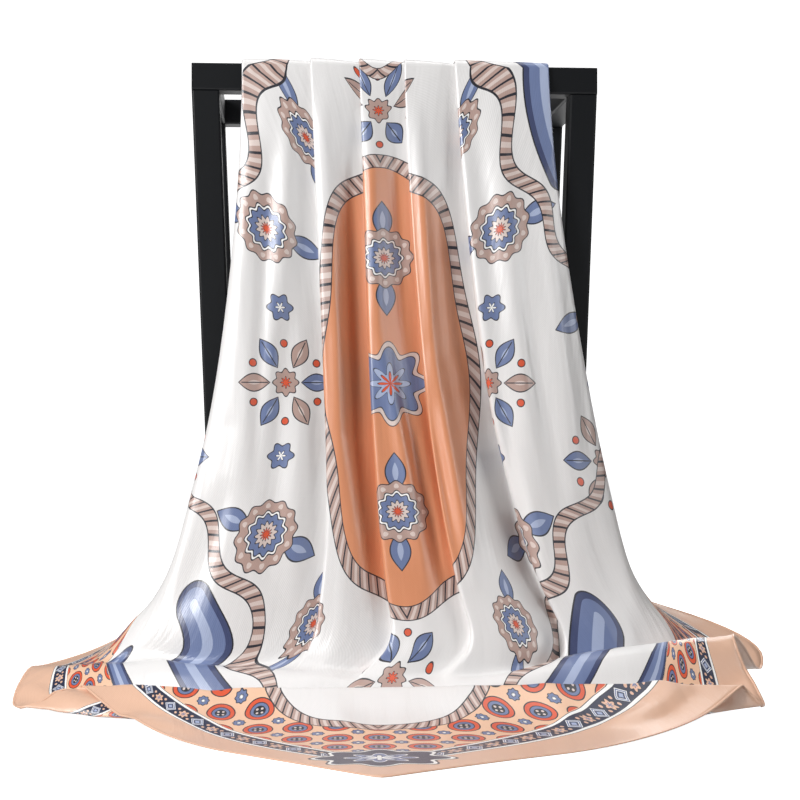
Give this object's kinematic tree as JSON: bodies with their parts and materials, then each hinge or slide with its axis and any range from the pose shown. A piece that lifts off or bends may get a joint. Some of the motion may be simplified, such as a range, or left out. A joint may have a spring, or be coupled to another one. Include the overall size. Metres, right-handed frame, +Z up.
{
  "type": "silk square scarf on frame stand",
  "caption": "Printed silk square scarf hung by its diagonal over the top rail of a black square-tube frame stand, gathered in pleats and pooled in a tuck at the foot",
  "frame": {"origin": "centre of the underside of the whole object's box, on the surface it stands on", "axes": "+Z up, -Y towards the viewer where the scarf's front corner points, +X to the viewer's right"},
  "size_m": [0.6768, 0.5704, 0.5806],
  "materials": {
    "silk": "satin",
    "stand": "satin"
  },
  "bodies": {
    "root": {"front_rail": "stand", "rear_rail": "stand", "left_side_rail": "stand", "right_side_rail": "stand", "front_left_leg": "stand", "front_right_leg": "stand", "rear_left_leg": "stand", "rear_right_leg": "stand", "floor_spread": "silk", "front_fall": "silk", "over_rail": "silk", "back_fall": "silk"}
  },
  "joints": []
}
